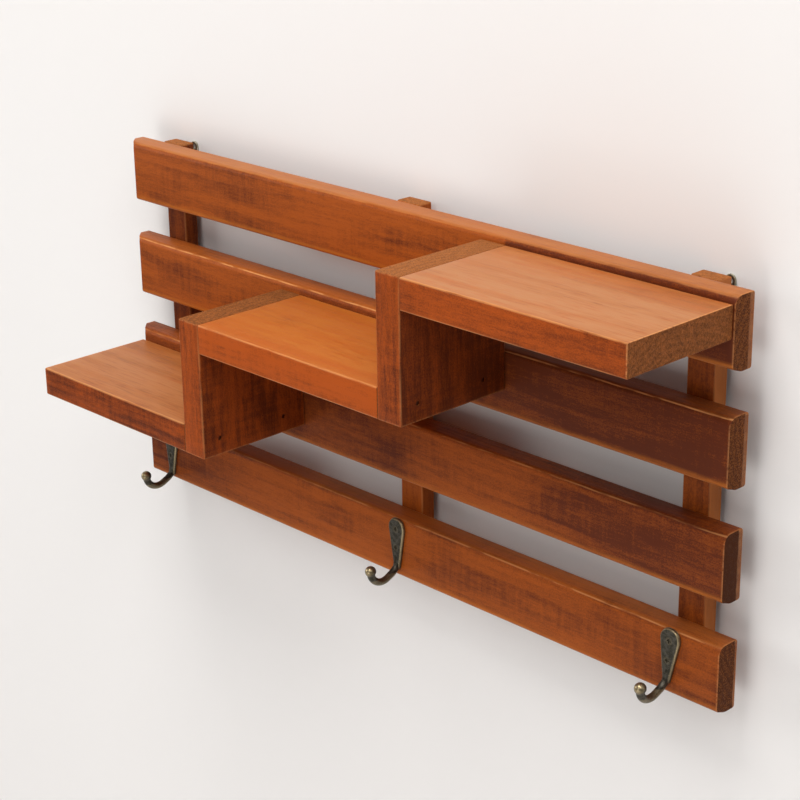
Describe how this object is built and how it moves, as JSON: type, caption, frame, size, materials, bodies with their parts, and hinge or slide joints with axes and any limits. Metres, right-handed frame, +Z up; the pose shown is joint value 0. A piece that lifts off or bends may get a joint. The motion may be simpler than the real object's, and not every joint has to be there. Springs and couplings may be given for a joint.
{
  "type": "wall rack",
  "caption": "Wooden wall rack: level slats on upright battens, a stair of stepped shelves in front, and coat hooks along the bottom slat.",
  "frame": {"origin": "on the wall plane, midway between the centres of the two hanging eyes", "axes": "+X along the wall to the right of a viewer who faces it, +Y into the wall, +Z up"},
  "size_m": [0.54, 0.1205, 0.2561],
  "materials": {
    "slat_wood": "satin",
    "shelf_wood": "satin",
    "riser_wood": "satin",
    "batten_wood": "satin",
    "aged_bronze": "satin",
    "hanger_steel": "satin",
    "fastener_steel": "satin"
  },
  "bodies": {
    "root": {"slat_top": "slat_wood", "slat_upper": "slat_wood", "slat_lower": "slat_wood", "slat_bottom": "slat_wood", "batten_left": "batten_wood", "batten_middle": "batten_wood", "batten_right": "batten_wood", "shelf_low": "shelf_wood", "shelf_middle": "shelf_wood", "shelf_high": "shelf_wood", "riser_low": "riser_wood", "riser_high": "riser_wood", "hook_left": "aged_bronze", "hook_middle": "aged_bronze", "hook_right": "aged_bronze", "hook_screws": "aged_bronze", "hanger_left": "hanger_steel", "hanger_right": "hanger_steel", "hanger_screws": "fastener_steel", "batten_nails": "fastener_steel", "shelf_screws": "fastener_steel", "stair_nails": "fastener_steel"}
  },
  "joints": []
}
